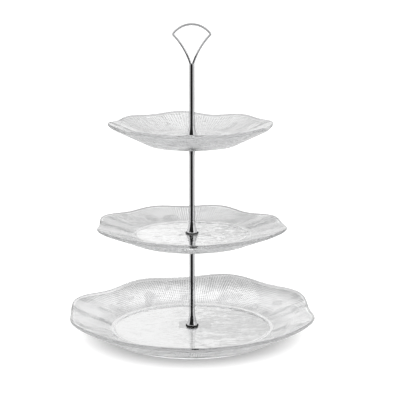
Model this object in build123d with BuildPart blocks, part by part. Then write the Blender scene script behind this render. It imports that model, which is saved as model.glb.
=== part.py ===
from build123d import *

import os
from math import cos, radians, sin

# Three-tier cake stand: three pressed-glass plates clamped on a stem of three screwed tube sections,
# with a bent wire handle on top. Millimetres, +Z up, origin on the table under the middle of the stem.

# ---- driving dimensions ----

TIER_SPACING = 125.0
BOTTOM_FOOT_Z = 10.5
ROD_TOP_Z = 353.7

TUBE_R = 3.5
TUBE_BORE_R = 2.6
FLARE_R = 7.0
FLARE_WAIST_R = 4.8
FLARE_HEIGHT = 16.0
FLARE_LIP = 0.9
SPIGOT_R = 2.58
SPIGOT_LENGTH = 8.0

THREAD_R = 2.5
TAPPED_R = 2.55
TAPPED_DEPTH = 12.0
THREAD_ENGAGEMENT = 9.0
STUD_SOCKET_R = 2.51
STUD_SOCKET_DEPTH = 10.0

WASHER_R = 8.6
WASHER_THICKNESS = 1.3
WASHER_BORE_R = 2.6
UNDER_WASHER_R = 8.0
SLEEVE_R = 3.92
SLEEVE_GAP = 0.4

BASE_WASHER_R = 8.0
BASE_WASHER_THICKNESS = 1.0
SCREW_HEAD_R = 6.0
SCREW_HEAD_HEIGHT = 2.0
SCREW_SLOT_WIDTH = 1.2
SCREW_SLOT_DEPTH = 0.9

HOLE_R = 4.0
SEAT_R = 11.0
SEAT_DEPTH = 0.3
RING_WIDTH = 4.0
RING_ROUND = 1.2
WELL_ROUND = 14.0
RIM_THICKNESS = 4.5
RIM_REACH = 1.13
OUTLINE_POINTS = 72

WIRE_R = 1.6
WIRE_SPLIT = 1.7
FAN_HALF_WIDTH = 24.0
FAN_CORNER_HEIGHT = 37.0
FAN_TOP_HEIGHT = 49.4
LEG_BOW_X = 11.9
LEG_BOW_HEIGHT = 22.0
FAN_CORNER_ROUND = 2.2
LEG_RUN_IN = 2.0
PLUG_SPIGOT_LENGTH = 10.0
PLUG_CAP_HEIGHT = 1.3

# ---- plates: size, hub glass thickness, depth of the foot ring below the seat, and rim waves ----
# A wave is (how many round the rim, share of the radius, direction of a crest in degrees).

PLATES = {
    "bottom_plate": dict(
        radius=160.0,
        well_radius=104.0,
        rim_rise=22.7,
        ring_radius=108.0,
        ring_depth=9.2,
        glass=4.6,
        waves=((1, 0.022, 75), (2, 0.008, 30), (3, 0.018, 72), (8, 0.022, 27)),
    ),
    "middle_plate": dict(
        radius=119.5,
        well_radius=74.0,
        rim_rise=13.3,
        ring_radius=78.6,
        ring_depth=8.0,
        glass=5.5,
        waves=((1, 0.02, 215), (2, 0.024, 175), (3, 0.022, 94), (5, 0.01, 6), (8, 0.025, 26)),
    ),
    "top_plate": dict(
        radius=103.5,
        well_radius=60.0,
        rim_rise=19.3,
        ring_radius=57.0,
        ring_depth=8.0,
        glass=5.5,
        waves=((2, 0.01, 140), (5, 0.015, 35), (8, 0.024, 7)),
    ),
}
TIERS = list(PLATES)
FOOT_Z = {name: BOTTOM_FOOT_Z + i * TIER_SPACING for i, name in enumerate(TIERS)}
SEAT_Z = {name: FOOT_Z[name] - WASHER_THICKNESS for name in TIERS}
UNDERSIDE_Z = {name: SEAT_Z[name] - PLATES[name]["glass"] for name in TIERS}
HEAD_Z = {name: UNDERSIDE_Z[name] - WASHER_THICKNESS for name in TIERS[1:]}


def save(piece, name):
    """Label a finished piece and write it as its own STEP file."""
    piece.label = name
    export_step(piece, f"parts/{name}.step")


def rim_radius(radius, waves, angle):
    """Radius of a wavy rim in one direction, in degrees: a circle plus a few cosine waves."""
    return radius * (1 + sum(share * cos(radians(count * (angle - crest))) for count, share, crest in waves))


def make_plate(name, radius, well_radius, rim_rise, ring_radius, ring_depth, glass, waves):
    """Glass plate: a turned dish with a foot ring, cut to a wavy outline, so the rim also rises and falls."""
    seat = SEAT_Z[name]
    well = seat + SEAT_DEPTH
    slope = (rim_rise - SEAT_DEPTH) / (radius - well_radius)
    reach = radius * RIM_REACH
    reach_top = well + slope * (reach - well_radius)
    rim_under = seat + rim_rise - RIM_THICKNESS
    ring_inner = ring_radius - RING_WIDTH
    skirt_slope = (rim_under - (seat - ring_depth)) / (radius - ring_radius)
    with BuildPart() as plate:
        with BuildSketch(Plane.XZ) as section:
            with BuildLine():
                Polyline(
                    (HOLE_R, seat),
                    (SEAT_R, seat),
                    (SEAT_R, well),
                    (well_radius, well),
                    (reach, reach_top),
                    (reach, rim_under + skirt_slope * (reach - radius)),
                    (ring_radius, seat - ring_depth),
                    (ring_inner, seat - ring_depth),
                    (ring_inner - RING_WIDTH / 2, seat - glass),
                    (HOLE_R, seat - glass),
                    close=True,
                )
            make_face()
            corners = section.vertices()
            fillet(corners.sort_by_distance((well_radius, well))[0], WELL_ROUND)
            fillet(section.vertices().sort_by_distance((ring_radius, seat - ring_depth))[0], RING_ROUND)
            fillet(section.vertices().sort_by_distance((ring_inner, seat - ring_depth))[0], RING_ROUND)
        revolve(axis=Axis.Z)
        with BuildSketch(Plane.XY.offset(seat - ring_depth)):
            with BuildLine():
                Spline(
                    *[
                        Vector(1, 0).rotate(Axis.Z, turn) * rim_radius(radius, waves, turn)
                        for turn in (360 * i / OUTLINE_POINTS for i in range(OUTLINE_POINTS))
                    ],
                    periodic=True,
                )
            make_face()
        extrude(amount=reach_top - seat + 2 * ring_depth, mode=Mode.INTERSECT)
    save(plate.part, name)


def make_foot(name, base_z):
    """Flared foot: trumpet outside, tapped from below, with a spigot that fits inside the tube above."""
    top_z = base_z + FLARE_HEIGHT
    with BuildPart() as foot:
        with BuildSketch(Plane.XZ):
            with BuildLine():
                Polyline(
                    (TUBE_R, top_z),
                    (SPIGOT_R, top_z),
                    (SPIGOT_R, top_z + SPIGOT_LENGTH),
                    (0, top_z + SPIGOT_LENGTH),
                    (0, base_z),
                    (FLARE_R, base_z),
                    (FLARE_R, base_z + FLARE_LIP),
                )
                ThreePointArc(
                    (FLARE_R, base_z + FLARE_LIP),
                    (FLARE_WAIST_R, base_z + FLARE_HEIGHT / 2),
                    (TUBE_R, top_z),
                )
            make_face()
        revolve(axis=Axis.Z)
        with Locations((0, 0, base_z + TAPPED_DEPTH / 2)):
            Cylinder(TAPPED_R, TAPPED_DEPTH, mode=Mode.SUBTRACT)
    save(foot.part, name)


def make_head(name, top_z):
    """Inverted flare that carries the plate above: the foot's mirror image, with a socket for the stud."""
    bottom_z = top_z - FLARE_HEIGHT
    with BuildPart() as head:
        with BuildSketch(Plane.XZ):
            with BuildLine():
                Polyline(
                    (TUBE_R, bottom_z),
                    (SPIGOT_R, bottom_z),
                    (SPIGOT_R, bottom_z - SPIGOT_LENGTH),
                    (0, bottom_z - SPIGOT_LENGTH),
                    (0, top_z),
                    (FLARE_R, top_z),
                    (FLARE_R, top_z - FLARE_LIP),
                )
                ThreePointArc(
                    (FLARE_R, top_z - FLARE_LIP),
                    (FLARE_WAIST_R, top_z - FLARE_HEIGHT / 2),
                    (TUBE_R, bottom_z),
                )
            make_face()
        revolve(axis=Axis.Z)
        with Locations((0, 0, top_z - STUD_SOCKET_DEPTH / 2)):
            Cylinder(STUD_SOCKET_R, STUD_SOCKET_DEPTH, mode=Mode.SUBTRACT)
    save(head.part, name)


def make_tube(name, bottom_z, top_z):
    """Plain stem tube."""
    with BuildPart() as tube:
        with BuildSketch(Plane.XY.offset(bottom_z)):
            Circle(TUBE_R)
            Circle(TUBE_BORE_R, mode=Mode.SUBTRACT)
        extrude(amount=top_z - bottom_z)
    save(tube.part, name)


def make_stud(name, head_z, foot_z):
    """Stud fixed in a head's socket, through the glass, and up into the foot above."""
    with BuildPart() as stud:
        with BuildSketch(Plane.XY.offset(head_z - STUD_SOCKET_DEPTH)):
            Circle(THREAD_R)
        extrude(amount=foot_z + THREAD_ENGAGEMENT - head_z + STUD_SOCKET_DEPTH)
        chamfer(stud.faces().sort_by(Axis.Z)[-1].edges(), 0.5)
    save(stud.part, name)


def make_washer(name, base_z, radius, thickness, sleeve=0.0):
    """Flat washer; a sleeve above or below it (its sign says which) lines the hole in the glass."""
    with BuildPart() as washer:
        with BuildSketch(Plane.XY.offset(base_z)):
            Circle(radius)
        extrude(amount=thickness)
        chamfer(washer.edges().filter_by(GeomType.CIRCLE), 0.15)
        if sleeve:
            with BuildSketch(Plane.XY.offset(base_z + thickness if sleeve > 0 else base_z)):
                Circle(SLEEVE_R)
            extrude(amount=sleeve)
        with Locations((0, 0, base_z)):
            Cylinder(WASHER_BORE_R, 4 * (thickness + abs(sleeve)), mode=Mode.SUBTRACT)
    save(washer.part, name)


def make_base_screw(name):
    """Low slotted screw that clamps the bottom plate from below."""
    head_top = UNDERSIDE_Z["bottom_plate"] - 2 * BASE_WASHER_THICKNESS
    head_bottom = head_top - SCREW_HEAD_HEIGHT
    with BuildPart() as screw:
        with BuildSketch(Plane.XY.offset(head_bottom)):
            Circle(SCREW_HEAD_R)
        extrude(amount=SCREW_HEAD_HEIGHT)
        fillet(screw.faces().sort_by(Axis.Z)[0].edges(), 0.9)
        with BuildSketch(Plane.XY.offset(head_top)):
            Circle(THREAD_R)
        extrude(amount=FOOT_Z["bottom_plate"] + THREAD_ENGAGEMENT - head_top)
        chamfer(screw.faces().sort_by(Axis.Z)[-1].edges(), 0.5)
        with Locations((0, 0, head_bottom + SCREW_SLOT_DEPTH / 2)):
            Box(3 * SCREW_HEAD_R, SCREW_SLOT_WIDTH, SCREW_SLOT_DEPTH, mode=Mode.SUBTRACT)
    save(screw.part, name)


def make_plug(name):
    """Cap on the upper tube that carries the handle wire."""
    with BuildPart() as plug:
        with BuildSketch(Plane.XY.offset(ROD_TOP_Z - PLUG_CAP_HEIGHT)):
            Circle(TUBE_R)
        extrude(amount=PLUG_CAP_HEIGHT)
        with BuildSketch(Plane.XY.offset(ROD_TOP_Z - PLUG_CAP_HEIGHT)):
            Circle(SPIGOT_R)
        extrude(amount=-PLUG_SPIGOT_LENGTH)
    save(plug.part, name)


def make_handle(name):
    """Fan of bent round wire: two bowed legs up to sharp corners, joined by an arc; cut flat on the plug."""
    with BuildPart() as handle:
        with BuildLine(Plane.XZ.offset(0)) as path:
            left_leg = ThreePointArc(
                (-WIRE_SPLIT, ROD_TOP_Z),
                (-LEG_BOW_X, ROD_TOP_Z + LEG_BOW_HEIGHT),
                (-FAN_HALF_WIDTH, ROD_TOP_Z + FAN_CORNER_HEIGHT),
            )
            Line(left_leg @ 0 - left_leg % 0 * LEG_RUN_IN, left_leg @ 0)
            ThreePointArc(
                (-FAN_HALF_WIDTH, ROD_TOP_Z + FAN_CORNER_HEIGHT),
                (0, ROD_TOP_Z + FAN_TOP_HEIGHT),
                (FAN_HALF_WIDTH, ROD_TOP_Z + FAN_CORNER_HEIGHT),
            )
            right_leg = ThreePointArc(
                (FAN_HALF_WIDTH, ROD_TOP_Z + FAN_CORNER_HEIGHT),
                (LEG_BOW_X, ROD_TOP_Z + LEG_BOW_HEIGHT),
                (WIRE_SPLIT, ROD_TOP_Z),
            )
            Line(right_leg @ 1, right_leg @ 1 + right_leg % 1 * LEG_RUN_IN)
            corners = path.vertices().filter_by_position(
                Axis.Z, ROD_TOP_Z + FAN_CORNER_HEIGHT - 0.1, ROD_TOP_Z + FAN_CORNER_HEIGHT + 0.1
            )
            fillet(corners, FAN_CORNER_ROUND)
        wire_path = path.wires()[0]
        with BuildSketch(Plane(origin=wire_path @ 0, z_dir=wire_path % 0)):
            Circle(WIRE_R)
        sweep(path=wire_path)
        split(bisect_by=Plane.XY.offset(ROD_TOP_Z), keep=Keep.TOP)
    save(handle.part, name)


os.makedirs("parts", exist_ok=True)

for plate_name, shape in PLATES.items():
    make_plate(plate_name, **shape)

make_base_screw("base_screw")
metal_washer_z = UNDERSIDE_Z["bottom_plate"] - 2 * BASE_WASHER_THICKNESS
make_washer("base_metal_washer", metal_washer_z, BASE_WASHER_R, BASE_WASHER_THICKNESS)
make_washer("base_rubber_washer", metal_washer_z + BASE_WASHER_THICKNESS, BASE_WASHER_R, BASE_WASHER_THICKNESS)
make_washer(
    "bottom_plate_washer",
    SEAT_Z["bottom_plate"],
    WASHER_R,
    WASHER_THICKNESS,
    SLEEVE_GAP - PLATES["bottom_plate"]["glass"],
)

for plate_name in TIERS[1:]:
    sleeve_length = PLATES[plate_name]["glass"] - SLEEVE_GAP
    make_washer(f"{plate_name}_under_washer", HEAD_Z[plate_name], UNDER_WASHER_R, WASHER_THICKNESS, sleeve_length)
    make_washer(plate_name.replace("plate", "clamp_washer"), SEAT_Z[plate_name], WASHER_R, WASHER_THICKNESS)

for section_name, below, above in (("lower", *TIERS[:2]), ("middle", *TIERS[1:])):
    make_foot(f"{section_name}_foot", FOOT_Z[below])
    make_tube(f"{section_name}_tube", FOOT_Z[below] + FLARE_HEIGHT, HEAD_Z[above] - FLARE_HEIGHT)
    make_head(f"{section_name}_head", HEAD_Z[above])
    make_stud(f"{section_name}_stud", HEAD_Z[above], FOOT_Z[above])

make_foot("upper_foot", FOOT_Z["top_plate"])
make_tube("upper_tube", FOOT_Z["top_plate"] + FLARE_HEIGHT, ROD_TOP_Z - PLUG_CAP_HEIGHT)
make_plug("handle_plug")
make_handle("handle_loop")
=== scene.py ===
from math import cos, floor, hypot, pi, radians, sin, tan, tau

import bpy
import numpy as np
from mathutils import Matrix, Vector, noise


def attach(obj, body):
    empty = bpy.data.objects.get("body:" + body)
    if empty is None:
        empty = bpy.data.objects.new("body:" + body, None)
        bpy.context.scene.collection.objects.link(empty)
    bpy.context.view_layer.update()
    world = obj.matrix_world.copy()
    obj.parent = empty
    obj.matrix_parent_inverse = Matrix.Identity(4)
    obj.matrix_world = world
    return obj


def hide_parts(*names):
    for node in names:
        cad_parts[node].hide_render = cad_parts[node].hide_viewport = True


# Looks for the three-tier glass cake stand: pressed-glass plates with an embossed rim band, polished stem
# and wire handle, on a white studio table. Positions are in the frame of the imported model. Sizes below are
# in millimetres, as on a drawing, and meshes are made in metres.

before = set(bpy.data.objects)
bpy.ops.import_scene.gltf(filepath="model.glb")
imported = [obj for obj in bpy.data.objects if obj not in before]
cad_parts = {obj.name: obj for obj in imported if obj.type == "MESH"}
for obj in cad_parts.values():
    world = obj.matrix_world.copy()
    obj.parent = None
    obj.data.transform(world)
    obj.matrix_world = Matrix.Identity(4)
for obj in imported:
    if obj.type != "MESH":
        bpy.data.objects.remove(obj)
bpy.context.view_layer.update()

MM = 0.001

# ---- driving sizes, in millimetres ----

TIER_SPACING = 125.0
BOTTOM_FOOT_Z = 10.5
ROD_TOP_Z = 353.7

TUBE_R = 3.5
TUBE_BORE_R = 2.6
FLARE_R = 7.0
FLARE_WAIST_R = 4.8
FLARE_HEIGHT = 16.0
FLARE_LIP = 0.9
SPIGOT_R = 2.58
SPIGOT_LENGTH = 8.0
TAPPED_R = 2.55
TAPPED_DEPTH = 12.0
THREAD_R = 2.5
THREAD_PITCH = 0.8
THREAD_DEPTH = 0.4
THREAD_ROWS_PER_TURN = 8
THREAD_EASE = 0.5
THREAD_ENGAGEMENT = 9.0
STUD_SOCKET_R = 2.51
STUD_SOCKET_DEPTH = 10.0

WASHER_R = 8.6
UNDER_WASHER_R = 8.0
WASHER_THICKNESS = 1.3
WASHER_BORE_R = 2.6
SLEEVE_R = 3.92
SLEEVE_GAP = 0.4
BASE_WASHER_R = 8.0
BASE_WASHER_THICKNESS = 1.0
PLUG_CAP_HEIGHT = 1.3
PLUG_SPIGOT_LENGTH = 10.0

WIRE_R = 1.6
WIRE_SPLIT = 1.7
LEG_BOW_X = 11.9
LEG_BOW_HEIGHT = 22.0
FAN_HALF_WIDTH = 24.0
FAN_CORNER_HEIGHT = 37.0
FAN_TOP_HEIGHT = 49.4
FAN_CORNER_ROUND = 2.2

HOLE_R = 4.0
SEAT_R = 11.0
SEAT_DEPTH = 0.3
RING_WIDTH = 4.0
RIM_THICKNESS = 4.5

# cell shade: how deep the painted shade in the pressed cells is, grey painted into the glass colour in place
# of the shade that refraction shows. A wave is (how many round the rim, share of the radius, direction of a
# crest in degrees).
PLATES = {
    "bottom_plate": dict(
        body="bottom_tier", seat=9.2, radius=160.0, well_radius=104.0, rim_rise=22.7, ring_radius=108.0,
        ring_depth=9.2, glass=4.6, cell_shade=1.0,
        waves=((1, 0.022, 75), (2, 0.008, 30), (3, 0.018, 72), (8, 0.022, 27)),
    ),
    "middle_plate": dict(
        body="middle_tier", seat=134.2, radius=119.5, well_radius=74.0, rim_rise=13.3, ring_radius=78.6,
        ring_depth=8.0, glass=5.5, cell_shade=1.12,
        waves=((1, 0.02, 215), (2, 0.024, 175), (3, 0.022, 94), (5, 0.01, 6), (8, 0.025, 26)),
    ),
    "top_plate": dict(
        body="top_tier", seat=259.2, radius=103.5, well_radius=60.0, rim_rise=19.3, ring_radius=57.0,
        ring_depth=8.0, glass=5.5, cell_shade=0.55,
        waves=((2, 0.01, 140), (5, 0.015, 35), (8, 0.024, 7)),
    ),
}

# Pressed grid under the rim band, and how far the mesh stays inside the model's outline.
RIB_PITCH = 3.0
RIB_DEPTH = 0.8
RIB_SHARPNESS = 1.6
SAMPLES_PER_RIB = 4
ROWS_PER_RIB = 2.8
OUTLINE_INSET = 0.02
TOP_INSET = 0.03
UNDER_INSET = 0.05
WELL_TURN = 0.8

# Sizes of the patches in which the ribs sway, and the radial and the ring ribs fade.
SWAY_SIZE = 30
RADIAL_PATCH_SIZE = 22
RING_PATCH_SIZE = 18

# Lip of the rim, and the beads of the foot ring. The lip, the beads and the foot ring carry painted shade in
# the glass colour: 0 is clear glass and 1 the darkest grey.
LIP_ROUND = 1.5
LIP_TURNS = (72, 48, 24, 0, -24, -48, -72)
LIP_SHADE = 0.35
BEAD_DEPTH = 0.35
RING_SHADE = 0.7
RING_INSIDE_SHADE = 0.3
SEED_STEP = 3.7

LATHE_STEPS = 96
ARC_STEPS = 24
SHARP_ANGLE = 40
WIRE_STEPS = 24


# ---- mesh helpers ----


def new_mesh_object(name, vertices, faces):
    """A smooth-shaded mesh object, with edges that turn by more than SHARP_ANGLE degrees kept crisp."""
    mesh = bpy.data.meshes.new(name)
    mesh.from_pydata(vertices, [], faces)
    mesh.update()
    mesh.shade_smooth()
    mesh.set_sharp_from_angle(angle=radians(SHARP_ANGLE))
    piece = bpy.data.objects.new(name, mesh)
    bpy.context.scene.collection.objects.link(piece)
    return piece


def add_piece(name, vertices, faces, node, body, slot):
    """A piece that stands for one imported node: it rides on the node's body. slot names its finish."""
    piece = new_mesh_object(name, vertices, faces)
    piece.data.materials.append(MATERIALS[slot])
    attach(piece, body)
    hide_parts(node)
    return piece


def ring_faces(rings, steps):
    """Quads between rings of equal length, joined round and with the last ring joined to the first."""
    faces = []
    for i in range(rings):
        j = (i + 1) % rings
        for k in range(steps):
            m = (k + 1) % steps
            faces.append((i * steps + k, i * steps + m, j * steps + m, j * steps + k))
    return faces


def lathe(profile, steps=LATHE_STEPS):
    """Vertices and faces of a closed profile of (radius, height) turned round the stem. A profile that
    reaches the axis starts and ends there."""
    vertices = []
    rows = []
    for r, z in profile:
        if r == 0:
            rows.append([len(vertices)] * steps)
            vertices.append((0, 0, z * MM))
        else:
            rows.append(list(range(len(vertices), len(vertices) + steps)))
            turns = [tau * i / steps for i in range(steps)]
            vertices += [(r * cos(turn) * MM, r * sin(turn) * MM, z * MM) for turn in turns]
    faces = []
    solid = profile[0][0] == 0
    for a, b in zip(rows, rows[1:] if solid else rows[1:] + rows[:1]):
        for i in range(steps):
            j = (i + 1) % steps
            faces.append(list(dict.fromkeys((a[i], a[j], b[j], b[i]))))
    return vertices, faces


def arc(start, middle, end, steps):
    """Points on the circular arc through three points in a plane."""
    a, b, c = Vector(start), Vector(middle), Vector(end)
    d = 2 * (a.x * (b.y - c.y) + b.x * (c.y - a.y) + c.x * (a.y - b.y))
    aa, bb, cc = a.length_squared, b.length_squared, c.length_squared
    centre_x = (aa * (b.y - c.y) + bb * (c.y - a.y) + cc * (a.y - b.y)) / d
    centre_y = (aa * (c.x - b.x) + bb * (a.x - c.x) + cc * (b.x - a.x)) / d
    centre = Vector((centre_x, centre_y))
    first = a - centre
    sweep = -first.angle_signed(b - centre) - (b - centre).angle_signed(c - centre)
    points = []
    for i in range(steps + 1):
        t = sweep * i / steps
        x = centre.x + first.x * cos(t) - first.y * sin(t)
        y = centre.y + first.x * sin(t) + first.y * cos(t)
        points.append((x, y))
    return points


# ---- materials ----


def principled(name):
    """A material with one Principled shader: the material, its tree and the shader."""
    material = bpy.data.materials.new(name)
    material.use_nodes = True
    return material, material.node_tree, material.node_tree.nodes["Principled BSDF"]


def noise_bump(tree, shader, scale, strength, distance, detail=2.0, stretch=(1, 1, 1)):
    """Fine relief from object-space noise, on the shader's normal."""
    where = tree.nodes.new("ShaderNodeTexCoord")
    mapping = tree.nodes.new("ShaderNodeMapping")
    mapping.inputs["Scale"].default_value = stretch
    texture = tree.nodes.new("ShaderNodeTexNoise")
    texture.inputs["Scale"].default_value = scale
    texture.inputs["Detail"].default_value = detail
    bump = tree.nodes.new("ShaderNodeBump")
    bump.inputs["Strength"].default_value = strength
    bump.inputs["Distance"].default_value = distance
    tree.links.new(where.outputs["Object"], mapping.inputs["Vector"])
    tree.links.new(mapping.outputs["Vector"], texture.inputs["Vector"])
    tree.links.new(texture.outputs["Fac"], bump.inputs["Height"])
    tree.links.new(bump.outputs["Normal"], shader.inputs["Normal"])
    return texture


def noise_range(tree, texture, socket, low, high):
    """Drive a shader socket from a noise texture, between low and high."""
    spread = tree.nodes.new("ShaderNodeMapRange")
    spread.inputs["From Min"].default_value = 0.3
    spread.inputs["From Max"].default_value = 0.7
    spread.inputs["To Min"].default_value = low
    spread.inputs["To Max"].default_value = high
    tree.links.new(texture.outputs["Fac"], spread.inputs["Value"])
    tree.links.new(spread.outputs["Result"], socket)


def glass_material():
    """Clear pressed glass with painted shade in its colour: grey painted into the cells of the pressed grid,
    the ribs left bright, in place of the shade that refraction shows. It absorbs a little, so that light
    which travels far inside the plate comes out darker."""
    material, tree, shader = principled("pressed_glass")
    shader.inputs["Roughness"].default_value = 0.01
    shader.inputs["IOR"].default_value = 1.5
    shader.inputs["Transmission Weight"].default_value = 1.0
    noise_bump(tree, shader, 45.0, 0.3, 0.0014)
    # The point attribute holds the painted shade from make_plate, and the ramp turns it into a greyer glass
    # colour.
    relief = tree.nodes.new("ShaderNodeAttribute")
    relief.attribute_name = "relief"
    tone = tree.nodes.new("ShaderNodeValToRGB")
    clear, darkest_shade = tone.color_ramp.elements
    clear.color = (0.985, 0.988, 0.988, 1)
    cell = tone.color_ramp.elements.new(0.7)
    cell.color = (0.64, 0.65, 0.65, 1)
    darkest_shade.color = (0.22, 0.22, 0.23, 1)
    tree.links.new(relief.outputs["Fac"], tone.inputs["Fac"])
    tree.links.new(tone.outputs["Color"], shader.inputs["Base Color"])
    absorb = tree.nodes.new("ShaderNodeVolumeAbsorption")
    absorb.inputs["Color"].default_value = (0.40, 0.42, 0.42, 1)
    absorb.inputs["Density"].default_value = 1.6
    tree.links.new(absorb.outputs["Volume"], tree.nodes["Material Output"].inputs["Volume"])
    return material


def chrome_material():
    material, tree, shader = principled("polished_chrome")
    shader.inputs["Base Color"].default_value = (0.72, 0.72, 0.73, 1)
    shader.inputs["Metallic"].default_value = 1.0
    texture = noise_bump(tree, shader, 900.0, 0.03, 0.0001, 3.0, (1, 1, 0.15))
    noise_range(tree, texture, shader.inputs["Roughness"], 0.04, 0.10)
    return material


def steel_material():
    material, tree, shader = principled("zinc_plated_steel")
    shader.inputs["Base Color"].default_value = (0.60, 0.61, 0.63, 1)
    shader.inputs["Metallic"].default_value = 1.0
    texture = noise_bump(tree, shader, 1500.0, 0.15, 0.0002, 4.0)
    noise_range(tree, texture, shader.inputs["Roughness"], 0.25, 0.42)
    return material


def silicone_material():
    material, tree, shader = principled("clear_silicone")
    shader.inputs["Base Color"].default_value = (0.86, 0.86, 0.85, 1)
    shader.inputs["Transmission Weight"].default_value = 0.8
    shader.inputs["IOR"].default_value = 1.41
    texture = noise_bump(tree, shader, 1800.0, 0.2, 0.0002, 3.0)
    noise_range(tree, texture, shader.inputs["Roughness"], 0.25, 0.40)
    return material


def rubber_material():
    material, tree, shader = principled("black_rubber")
    shader.inputs["Base Color"].default_value = (0.016, 0.016, 0.017, 1)
    texture = noise_bump(tree, shader, 2500.0, 0.35, 0.0002, 4.0)
    noise_range(tree, texture, shader.inputs["Roughness"], 0.55, 0.75)
    return material


MATERIALS = {
    "glass": glass_material(),
    "chrome": chrome_material(),
    "steel": steel_material(),
    "rubber": rubber_material(),
    "silicone": silicone_material(),
}


# ---- glass plates ----


def rim_radius(radius, waves, angle):
    """Radius of the wavy rim in one direction, in degrees."""
    return radius * (1 + sum(share * cos(radians(count * (angle - crest))) for count, share, crest in waves))


def smooth_step(low, high, value):
    """0 up to low, 1 from high on, and a soft rise between them."""
    t = min(1.0, max(0.0, (value - low) / (high - low)))
    return t * t * (3 - 2 * t)


def emboss(angle, radius, rib_count, share, seed):
    """Depth of the pressed cells, 0 to 1, at one place on the rim band. Radial ribs and ring ribs stand
    between the cells, clearer in some patches than in others. share is 0 at the well and 1 at the rim."""
    x = radius * cos(angle)
    y = radius * sin(angle)
    sway = noise.noise(Vector((x / SWAY_SIZE, y / SWAY_SIZE, seed)))
    radial_patch = noise.noise(Vector((x / RADIAL_PATCH_SIZE, y / RADIAL_PATCH_SIZE, seed + 7)))
    ring_patch = noise.noise(Vector((x / RING_PATCH_SIZE, y / RING_PATCH_SIZE, seed + 13)))
    rib_phase = rib_count * angle / tau + 0.4 * sway
    ring_phase = (radius + 1.5 * sway) / RIB_PITCH
    cell = noise.cell(Vector((floor(rib_phase), floor(ring_phase), seed)))
    radial = (0.5 + 0.5 * cos(tau * rib_phase)) ** RIB_SHARPNESS
    ring = (0.5 + 0.5 * cos(tau * ring_phase)) ** RIB_SHARPNESS
    radial *= 0.4 + 0.6 * smooth_step(-0.45, -0.05, radial_patch)
    ring *= 0.25 + 0.75 * smooth_step(-0.45, 0.0, ring_patch)
    fade = smooth_step(0.0, 0.012, share) * (1 - smooth_step(0.985, 1.0, share))
    return fade * (1 - max(radial, ring)) * (0.72 + 0.28 * cell * cell)


def plate_section(shape, reach, angle, seed):
    """One section of the plate, from the hole's top edge outwards over the rim and back under to the hole's
    lower edge, as (radius, height, painted shade). reach is the rim's radius in this direction."""
    seat = shape["seat"]
    well = seat + SEAT_DEPTH
    well_radius = shape["well_radius"]
    ring_radius = shape["ring_radius"]
    slope = (shape["rim_rise"] - SEAT_DEPTH) / (shape["radius"] - well_radius)
    under_slope = (shape["rim_rise"] - RIM_THICKNESS + shape["ring_depth"]) / (shape["radius"] - ring_radius)
    ring_z = seat - shape["ring_depth"]
    ring_inner = ring_radius - RING_WIDTH
    under = seat - shape["glass"]
    rib_count = shape["rib_count"]

    def top_z(r):
        """Upper face: flat well, a soft turn, then the sloping band."""
        lift = slope * (r - well_radius)
        return well + 0.5 * (lift + hypot(lift, WELL_TURN)) - TOP_INSET

    def under_z(r):
        """Lower face of the rim band."""
        return ring_z + under_slope * (r - ring_radius)

    section = [(HOLE_R, seat - 0.2, 0), (HOLE_R + 0.2, seat, 0)]
    section += [(WASHER_R + 0.4, seat, 0), (WASHER_R + 1.0, seat, 0)]
    section += [(SEAT_R + 1.4, well - TOP_INSET, 0), (SEAT_R + 2.0, well - TOP_INSET, 0)]
    section += [(r, top_z(r), 0) for r in (well_radius - 14, well_radius - 6, well_radius - 3, well_radius)]
    section += [(r, top_z(r), 0) for r in np.linspace(well_radius + 3, reach - 2.0, 6)]
    lip_top = top_z(reach) - 0.15
    lip_low = under_z(reach) + 0.15
    middle = 0.5 * (lip_top + lip_low)
    half = 0.5 * (lip_top - lip_low)
    # The lip is painted grey: painted shade for its dark edge line.
    for turn in LIP_TURNS:
        r = reach - LIP_ROUND * (1 - cos(radians(turn)))
        section.append((r, middle + half * sin(radians(turn)), LIP_SHADE))
    rows = shape["band_rows"]
    inner = ring_radius + 0.6
    for i in range(rows + 1):
        share = 1 - i / rows
        r = inner + (reach - 2.2 - inner) * share
        relief = emboss(angle, r, rib_count, share, seed)
        # The cells get painted shade in the glass colour, in step with their depth.
        section.append((r, under_z(r) + UNDER_INSET + RIB_DEPTH * relief, shape["cell_shade"] * relief))
    # The foot ring is painted in beads of dark and light, with its inner edge grey: painted shade.
    bead = 0.5 + 0.5 * cos(rib_count * angle)
    section.append((ring_radius - 0.1 - BEAD_DEPTH * bead, ring_z + 0.25, bead))
    section.append((ring_radius - 0.9 - BEAD_DEPTH * bead, ring_z, bead))
    section += [(ring_inner + 0.9, ring_z, bead), (ring_inner, ring_z + 0.4, RING_SHADE)]
    section.append((ring_inner - 1.7, under - 0.4, RING_INSIDE_SHADE))
    flat = (ring_inner - 2.4, ring_inner - 3.2, *np.linspace(ring_inner - 8, HOLE_R + 4, 5))
    section += [(r, under, 0) for r in flat]
    section += [(HOLE_R + 0.4, under, 0), (HOLE_R, under + 0.2, 0)]
    return section


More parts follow.
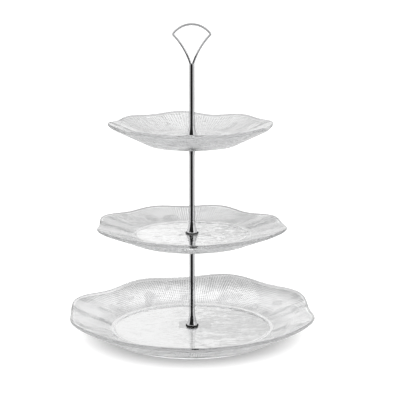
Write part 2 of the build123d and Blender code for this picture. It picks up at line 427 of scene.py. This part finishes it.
def make_plate(name, seed):
    """A pressed-glass plate: one closed mesh, a grid of sections round the stem. The table's soft shade comes
    from make_contact_shade, so the plate itself casts none."""
    shape = PLATES[name]
    band_radius = 0.5 * (shape["ring_radius"] + shape["radius"])
    shape["rib_count"] = round(tau * band_radius / RIB_PITCH)
    shape["band_rows"] = round((shape["radius"] - shape["ring_radius"]) / RIB_PITCH * ROWS_PER_RIB)
    count = shape["rib_count"] * SAMPLES_PER_RIB
    vertices = []
    painted_shades = []
    for i in range(count):
        angle = tau * i / count
        reach = rim_radius(shape["radius"], shape["waves"], angle * 180 / pi) - OUTLINE_INSET
        section = plate_section(shape, reach, angle, seed)
        vertices += [(r * cos(angle) * MM, r * sin(angle) * MM, z * MM) for r, z, _ in section]
        painted_shades += [tone for _, _, tone in section]
    faces = ring_faces(count, len(vertices) // count)
    plate = add_piece(f"{name}_glass", vertices, faces, name, shape["body"], "glass")
    # The relief attribute carries each point's painted shade to the glass colour.
    plate.data.attributes.new("relief", "FLOAT", "POINT").data.foreach_set("value", painted_shades)
    plate.visible_shadow = False
    plate.visible_diffuse = False


# ---- stem, washers and fasteners ----


def flare_profile(base, way):
    """Flare with a spigot, tapped or bored at its wide face. way is 1 for a foot, and -1 for a head, which
    is its mirror image with a stud socket."""
    bore, depth = (TAPPED_R, TAPPED_DEPTH) if way > 0 else (STUD_SOCKET_R, STUD_SOCKET_DEPTH)
    curve = arc((FLARE_R, FLARE_LIP), (FLARE_WAIST_R, FLARE_HEIGHT / 2), (TUBE_R, FLARE_HEIGHT), ARC_STEPS)
    end = FLARE_HEIGHT + SPIGOT_LENGTH
    profile = [(0, depth), (bore, depth), (bore, 0.3), (bore + 0.3, 0), (FLARE_R - 0.25, 0)]
    profile += [(FLARE_R, 0.25), (FLARE_R, FLARE_LIP - 0.2), *curve[1:]]
    profile += [(SPIGOT_R, FLARE_HEIGHT), (SPIGOT_R, end - 0.3), (SPIGOT_R - 0.3, end), (0, end)]
    # A head's profile runs the other way, so that its faces still look outwards.
    return [(r, base + way * z) for r, z in profile][::way]


def tube_profile(bottom, top):
    """Plain tube with its ends eased, so that a hairline shows at each joint."""
    ease = 0.12
    outer = [(TUBE_R - ease, bottom), (TUBE_R, bottom + ease), (TUBE_R, top - ease), (TUBE_R - ease, top)]
    return outer + [(TUBE_BORE_R, top), (TUBE_BORE_R, bottom)]


def washer_profile(base, radius, thickness, sleeve=0.0):
    """Washer with rounded edges. A sleeve above or below it lines the hole in the glass."""
    top = base + thickness
    rim = [(radius - 0.3, base), (radius - 0.08, base + 0.08), (radius, base + 0.3)]
    rim += [(radius, top - 0.3), (radius - 0.08, top - 0.08), (radius - 0.3, top)]
    below = [(WASHER_BORE_R, base)]
    above = [(WASHER_BORE_R, top)]
    if sleeve > 0:
        above = [(SLEEVE_R, top), (SLEEVE_R, top + sleeve), (WASHER_BORE_R, top + sleeve)]
    if sleeve < 0:
        below = [(WASHER_BORE_R, base + sleeve), (SLEEVE_R, base + sleeve), (SLEEVE_R, base)]
    return below + rim + above


def plug_profile():
    """Cap that closes the upper tube, with a spigot inside it."""
    cap = ROD_TOP_Z - PLUG_CAP_HEIGHT
    low = cap - PLUG_SPIGOT_LENGTH
    profile = [(0, low), (SPIGOT_R - 0.3, low), (SPIGOT_R, low + 0.3), (SPIGOT_R, cap), (TUBE_R, cap)]
    profile += [(TUBE_R, ROD_TOP_Z - 0.35), (TUBE_R - 0.1, ROD_TOP_Z - 0.1), (TUBE_R - 0.35, ROD_TOP_Z)]
    return profile + [(0, ROD_TOP_Z)]


def thread(bottom, top, steps=32):
    """Vertices and faces of a threaded rod: rings that follow the helix of the thread, and two end caps."""
    rows = round((top - bottom) / THREAD_PITCH * THREAD_ROWS_PER_TURN)
    vertices = [(0, 0, bottom * MM)]
    for i in range(rows + 1):
        z = bottom + (top - bottom) * i / rows
        ease = min(1.0, (z - bottom) / THREAD_EASE, (top - z) / THREAD_EASE)
        for k in range(steps):
            turn = k / steps
            height = abs(((z / THREAD_PITCH - turn) % 1.0) * 2 - 1)
            r = THREAD_R - 0.5 * (1 - ease) - THREAD_DEPTH * height * ease
            vertices.append((r * cos(tau * turn) * MM, r * sin(tau * turn) * MM, z * MM))
    vertices.append((0, 0, top * MM))
    last = len(vertices) - 1
    faces = []
    for k in range(steps):
        m = (k + 1) % steps
        faces.append((0, 1 + m, 1 + k))
        faces.append((last, last - steps + k, last - steps + m))
        for i in range(rows):
            a = 1 + i * steps
            faces.append((a + k, a + m, a + steps + m, a + steps + k))
    return vertices, faces


def handle_path():
    """Centre line of the handle wire in its plane, from one leg's end round to the other's."""
    left = (-FAN_HALF_WIDTH, FAN_CORNER_HEIGHT)
    right = (FAN_HALF_WIDTH, FAN_CORNER_HEIGHT)
    leg = arc((-WIRE_SPLIT, 0), (-LEG_BOW_X, LEG_BOW_HEIGHT), left, 40)
    crown = arc(left, (0, FAN_TOP_HEIGHT), right, 48)
    corner = Vector(leg[-1])
    into = (corner - Vector(leg[-2])).normalized()
    out = (Vector(crown[1]) - corner).normalized()
    reach = FAN_CORNER_ROUND * tan(into.angle(out) / 2)
    leg = [p for p in leg if (Vector(p) - corner).length > reach]
    crown = [p for p in crown if abs(p[0]) < FAN_HALF_WIDTH - reach * out.x]
    start = corner - into * reach
    end = corner + out * reach
    bend = []
    for i in range(9):
        t = i / 8
        bend.append(tuple(start * (1 - t) ** 2 + corner * 2 * t * (1 - t) + end * t * t))
    mirrored = [(-x, z) for x, z in reversed(leg + bend)]
    return [(x, ROD_TOP_Z + z) for x, z in leg + bend + crown + mirrored]


def make_handle():
    """Round wire along the handle's path, cut flat on the plug."""
    path = [Vector((x, 0, z)) for x, z in handle_path()]
    vertices = []
    last = len(path) - 1
    for i, centre in enumerate(path):
        along = (path[min(i + 1, last)] - path[max(i - 1, 0)]).normalized()
        side = Vector((0, 1, 0))
        up = along.cross(side)
        for k in range(WIRE_STEPS):
            turn = tau * k / WIRE_STEPS
            point = centre + WIRE_R * (side * cos(turn) + up * sin(turn))
            if i in (0, last):
                point += along * ((ROD_TOP_Z - point.z) / along.z)
            vertices.append(tuple(point * MM))
    faces = ring_faces(len(path), WIRE_STEPS)[: last * WIRE_STEPS]
    faces.append(tuple(reversed(range(WIRE_STEPS))))
    faces.append(tuple(range(last * WIRE_STEPS, (last + 1) * WIRE_STEPS)))
    add_piece("handle_wire", vertices, faces, "handle_loop", "handle_stem", "chrome")


def make_turned(node, body, slot, profile):
    """A turned piece that replaces the node of the same name."""
    add_piece(f"{node}_turned", *lathe(profile), node, body, slot)


def make_stem():
    """Every turned piece of the stem, section by section, and the studs between the sections."""
    shapes = list(PLATES.values())
    foot_z = [BOTTOM_FOOT_Z + TIER_SPACING * tier for tier in range(3)]
    head_z = [shape["seat"] - shape["glass"] - WASHER_THICKNESS for shape in shapes]
    bodies = {"lower": "lower_stem", "middle": "middle_stem", "upper": "handle_stem"}
    for tier, (section, body) in enumerate(bodies.items()):
        tube_top = ROD_TOP_Z - PLUG_CAP_HEIGHT
        make_turned(f"{section}_foot", body, "chrome", flare_profile(foot_z[tier], 1))
        if section != "upper":
            head = head_z[tier + 1]
            tube_top = head - FLARE_HEIGHT
            make_turned(f"{section}_head", body, "chrome", flare_profile(head, -1))
            rod = thread(head - STUD_SOCKET_DEPTH, foot_z[tier + 1] + THREAD_ENGAGEMENT)
            add_piece(f"{section}_stud_thread", *rod, f"{section}_stud", body, "steel")
        make_turned(f"{section}_tube", body, "chrome", tube_profile(foot_z[tier] + FLARE_HEIGHT, tube_top))
    make_turned("handle_plug", "handle_stem", "chrome", plug_profile())


def make_washers():
    """Soft washers between metal and glass at every tier, and the steel washer over the base screw's head."""
    bottom, middle, top = PLATES.values()
    lining = {shape["body"]: shape["glass"] - SLEEVE_GAP for shape in PLATES.values()}
    base = bottom["seat"] - bottom["glass"] - 2 * BASE_WASHER_THICKNESS
    seat_washers = (("bottom_plate_washer", "lower_stem", bottom, -lining["bottom_tier"]),
                    ("middle_clamp_washer", "middle_clamp", middle, 0.0),
                    ("top_clamp_washer", "top_clamp", top, 0.0))
    for node, body, shape, sleeve in seat_washers:
        make_turned(node, body, "rubber", washer_profile(shape["seat"], WASHER_R, WASHER_THICKNESS, sleeve))
    under_washers = (("middle_plate_under_washer", "lower_stem", middle),
                     ("top_plate_under_washer", "middle_stem", top))
    for node, body, shape in under_washers:
        head = shape["seat"] - shape["glass"] - WASHER_THICKNESS
        profile = washer_profile(head, UNDER_WASHER_R, WASHER_THICKNESS, lining[shape["body"]])
        make_turned(node, body, "silicone", profile)
    base_washers = (("base_metal_washer", "steel", 0.0),
                    ("base_rubber_washer", "silicone", BASE_WASHER_THICKNESS))
    for node, slot, lift in base_washers:
        profile = washer_profile(base + lift, BASE_WASHER_R, BASE_WASHER_THICKNESS)
        make_turned(node, "base_washers", slot, profile)


for seed, plate_name in enumerate(PLATES):
    make_plate(plate_name, SEED_STEP * seed)
make_stem()
make_washers()
make_handle()

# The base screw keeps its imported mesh.
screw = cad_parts["base_screw"]
screw.data.materials.clear()
screw.data.materials.append(MATERIALS["steel"])


# ---- stage: table, studio cards, light, camera ----

# Sizes in metres. A glow of 1 is white.
FLOOR_REACH = 150.0
FLOOR_TONE = 0.9
FLOOR_GLOW = 0.25
WORLD_GLOW = 0.60
SUN_STRENGTH = 2.4
SUN_SPREAD = 80

# Studio cards. The wall's strips are (share of the noise, glow).
CAMERA_DARK_GLOW = 0.02
CAMERA_GREY_GLOW = 0.35
FRONT_GLOW = 1.2
LEFT_GLOW = 0.85
RIGHT_GLOW = 0.72
WALL_GLOW = 1.1
WALL_DIM = (0.41, 0.25)
WALL_WHITE = (0.49, 1)

# Dark cards round the stem, one band above each plate. Reflected rays longer than the sight miss them.
STEM_SHADE_RADIUS = 0.030
STEM_SHADE_BANDS = ((0.012, 0.120), (0.142, 0.245), (0.267, 0.372))
STEM_SHADE_SIGHT = 0.040
STEM_SHADE_GLOW = 0.015

CONTACT_SHADE_RADIUS = 0.140
CONTACT_SHADE_HEIGHT = 0.050

# The table as the metal shows it: a dimmer copy of the table that only reflections see, painted shade in the
# metal's reflection.
METAL_FLOOR_REACH = 5.0
METAL_FLOOR_HEIGHT = 0.0008
METAL_FLOOR_GLOW = 0.72

# The table as the glass shows it, as (distance from the stem, glow): behind each plate, its well and rim band
# fall on different distances.
GLASS_FLOOR_REACH = 4.0
GLASS_FLOOR_HEIGHT = 0.0004
GLASS_FLOOR_TONES = (
    (0.0, 0.82), (0.12, 0.82), (0.14, 1.12), (0.18, 1.12), (0.21, 0.60), (0.34, 0.66),
    (0.41, 0.92), (0.60, 0.92), (0.66, 0.74), (1.00, 0.76),
    (1.30, 0.95), (1.78, 0.95), (1.92, 0.88), (3.00, 0.88),
)

# The camera stands where the photograph's proportions put it. Pitch is degrees below the horizon.
CAMERA_PLACE = (0.0104, -1.573, 0.507)
CAMERA_PITCH = 11.81
CAMERA_LENS = 112.1


def stage_material(name, tone, glow):
    """Matt paper. tone is its colour and glow what it gives off, 1 is white."""
    material, tree, shader = principled(name)
    shader.inputs["Base Color"].default_value = (tone, tone, tone, 1)
    shader.inputs["Roughness"].default_value = 1.0
    shader.inputs["Specular IOR Level"].default_value = 0.0
    shader.inputs["Emission Color"].default_value = (1, 1, 1, 1)
    shader.inputs["Emission Strength"].default_value = glow
    return material


def make_floor():
    """The white table, wide enough to fill the picture."""
    reach = FLOOR_REACH
    corners = [(-reach, -reach, 0), (reach, -reach, 0), (reach, reach, 0), (-reach, reach, 0)]
    table = new_mesh_object("floor", corners, [(0, 1, 2, 3)])
    table.data.materials.append(stage_material("white_table", FLOOR_TONE, FLOOR_GLOW))


def show_only(card, *rays):
    """Let only these kinds of ray see a studio card."""
    for kind in ("camera", "diffuse", "glossy", "transmission", "shadow"):
        setattr(card, f"visible_{kind}", kind in rays)


def make_card(name, corners, glow, *rays):
    """A flat studio card that glows. Unless rays are named, only reflections and refractions see it."""
    card = new_mesh_object(name, corners, [tuple(range(len(corners)))])
    card.data.materials.append(stage_material(f"{name}_paper", 0.0, glow))
    show_only(card, *(rays or ("glossy", "transmission")))
    return card


def disc(radius, height, steps=64):
    """Corners of a flat disc round the stem."""
    return [(radius * cos(tau * i / steps), radius * sin(tau * i / steps), height) for i in range(steps)]


def upright(x0, y0, x1, y1, low, high):
    """Corners of an upright card over the line from (x0, y0) to (x1, y1)."""
    return [(x0, y0, low), (x1, y1, low), (x1, y1, high), (x0, y0, high)]


def make_glass_floor():
    """The table as the glass shows it, in soft rings of light and shade round the stand."""
    reach = GLASS_FLOOR_REACH
    card = make_card("glass_floor", disc(reach, GLASS_FLOOR_HEIGHT, 96), 1.0, "transmission")
    tree = card.data.materials[0].node_tree
    shader = tree.nodes["Principled BSDF"]
    where = tree.nodes.new("ShaderNodeTexCoord")
    mapping = tree.nodes.new("ShaderNodeMapping")
    mapping.inputs["Scale"].default_value = (1 / reach, 1 / reach, 1 / reach)
    distance = tree.nodes.new("ShaderNodeVectorMath")
    distance.operation = "LENGTH"
    ramp = tree.nodes.new("ShaderNodeValToRGB")
    elements = ramp.color_ramp.elements
    while len(elements) < len(GLASS_FLOOR_TONES):
        elements.new(0.5)
    for element, (radius, tone) in zip(elements, GLASS_FLOOR_TONES):
        element.position = radius / reach
        element.color = (tone, tone, tone, 1)
    tree.links.new(where.outputs["Object"], mapping.inputs["Vector"])
    tree.links.new(mapping.outputs["Vector"], distance.inputs[0])
    tree.links.new(distance.outputs["Value"], ramp.inputs["Fac"])
    tree.links.new(ramp.outputs["Color"], shader.inputs["Emission Color"])


def make_stem_shade(name, start, end):
    """A dark curved card close to the stem, angles in degrees from +X.

    Only polished metal close inside the curve sees it: from outside or from further off it is open.
    """
    angles = np.linspace(radians(start), radians(end), 32)
    corners = []
    faces = []
    for low, high in STEM_SHADE_BANDS:
        first = len(corners)
        for a in angles:
            corners += [(STEM_SHADE_RADIUS * cos(a), STEM_SHADE_RADIUS * sin(a), z) for z in (low, high)]
        steps = range(first, len(corners) - 2, 2)
        faces += [(i, i + 1, i + 3, i + 2) for i in steps]
    card = new_mesh_object(name, corners, faces)
    material = stage_material(f"{name}_paper", 0.0, STEM_SHADE_GLOW)
    tree = material.node_tree
    side = tree.nodes.new("ShaderNodeNewGeometry")
    path = tree.nodes.new("ShaderNodeLightPath")
    far = tree.nodes.new("ShaderNodeMath")
    far.operation = "GREATER_THAN"
    far.inputs[1].default_value = STEM_SHADE_SIGHT
    either = tree.nodes.new("ShaderNodeMath")
    either.operation = "MAXIMUM"
    open_side = tree.nodes.new("ShaderNodeBsdfTransparent")
    choose = tree.nodes.new("ShaderNodeMixShader")
    tree.links.new(path.outputs["Ray Length"], far.inputs[0])
    tree.links.new(side.outputs["Backfacing"], either.inputs[0])
    tree.links.new(far.outputs["Value"], either.inputs[1])
    tree.links.new(either.outputs["Value"], choose.inputs["Fac"])
    tree.links.new(tree.nodes["Principled BSDF"].outputs["BSDF"], choose.inputs[1])
    tree.links.new(open_side.outputs["BSDF"], choose.inputs[2])
    tree.links.new(choose.outputs["Shader"], tree.nodes["Material Output"].inputs["Surface"])
    card.data.materials.append(material)
    show_only(card, "glossy")


def make_contact_shade():
    """Shades the table round the foot ring, in place of the plates' own shadows."""
    corners = disc(CONTACT_SHADE_RADIUS, CONTACT_SHADE_HEIGHT)
    card = new_mesh_object("contact_shade", corners, [tuple(range(len(corners)))])
    card.data.materials.append(stage_material("contact_shade_paper", 0.0, 0.0))
    show_only(card, "diffuse", "shadow")


def make_back_wall():
    """White wall behind, crossed by dimmer strips that the wavy glass picks up as streaks."""
    wall = make_card("back_wall", upright(-2.5, 2.6, 2.5, 2.6, 0.0, 1.6), WALL_GLOW)
    tree = wall.data.materials[0].node_tree
    shader = tree.nodes["Principled BSDF"]
    where = tree.nodes.new("ShaderNodeTexCoord")
    mapping = tree.nodes.new("ShaderNodeMapping")
    mapping.inputs["Scale"].default_value = (0.8, 0.0, 9.0)
    texture = tree.nodes.new("ShaderNodeTexNoise")
    texture.inputs["Scale"].default_value = 1.0
    texture.inputs["Detail"].default_value = 1.0
    ramp = tree.nodes.new("ShaderNodeValToRGB")
    for element, (share, tone) in zip(ramp.color_ramp.elements, (WALL_DIM, WALL_WHITE)):
        element.position = share
        element.color = (tone, tone, tone, 1)
    tree.links.new(where.outputs["Object"], mapping.inputs["Vector"])
    tree.links.new(mapping.outputs["Vector"], texture.inputs["Vector"])
    tree.links.new(texture.outputs["Fac"], ramp.inputs["Fac"])
    tree.links.new(ramp.outputs["Color"], shader.inputs["Emission Color"])


def make_world():
    """An even light grey all round."""
    world = bpy.data.worlds.new("studio")
    bpy.context.scene.world = world
    world.use_nodes = True
    background = world.node_tree.nodes["Background"]
    background.inputs["Color"].default_value = (1, 1, 1, 1)
    background.inputs["Strength"].default_value = WORLD_GLOW


def make_sun():
    """A wide soft light from straight overhead, which leaves no reflection of itself."""
    data = bpy.data.lights.new("overhead_light", "SUN")
    data.energy = SUN_STRENGTH
    data.angle = radians(SUN_SPREAD)
    lamp = bpy.data.objects.new("overhead_light", data)
    lamp.visible_glossy = False
    bpy.context.scene.collection.objects.link(lamp)


def make_camera():
    """Long lens a little above the stand, at the photograph's viewing angle."""
    data = bpy.data.cameras.new("camera")
    data.sensor_width = 36.0
    data.lens = CAMERA_LENS
    data.clip_end = 400.0
    camera = bpy.data.objects.new("camera", data)
    camera.location = CAMERA_PLACE
    camera.rotation_euler = (radians(90 - CAMERA_PITCH), 0, 0)
    bpy.context.scene.collection.objects.link(camera)
    bpy.context.scene.camera = camera


make_floor()
make_glass_floor()
# Dimmer table for the metal's reflections only: painted shade in the reflection.
make_card("metal_floor", disc(METAL_FLOOR_REACH, METAL_FLOOR_HEIGHT), METAL_FLOOR_GLOW, "glossy")
make_card("camera_dark", upright(-0.45, -1.2, 0.45, -1.2, 0.05, 0.62), CAMERA_DARK_GLOW, "glossy")
make_card("camera_grey", upright(-0.8, -1.1, 0.8, -1.1, 0.05, 0.9), CAMERA_GREY_GLOW, "transmission")
make_card("front_left_white", upright(-1.5, -0.75, -0.55, -1.3, 0.35, 2.2), FRONT_GLOW)
make_card("front_right_white", upright(0.55, -1.3, 1.5, -0.75, 0.35, 2.2), FRONT_GLOW)
make_card("left_white", upright(-1.6, -0.6, -1.6, 1.6, 0.0, 1.4), LEFT_GLOW)
make_card("right_white", upright(1.6, -0.6, 1.6, 1.6, 0.0, 1.4), RIGHT_GLOW)
make_back_wall()
make_stem_shade("stem_shade_front", 212, 306)
make_stem_shade("stem_shade_back", 32, 126)
make_contact_shade()
make_world()
make_sun()
make_camera()

scene = bpy.context.scene
scene.view_settings.view_transform = "Standard"
scene.cycles.max_bounces = 32
scene.cycles.transmission_bounces = 28
scene.cycles.glossy_bounces = 24
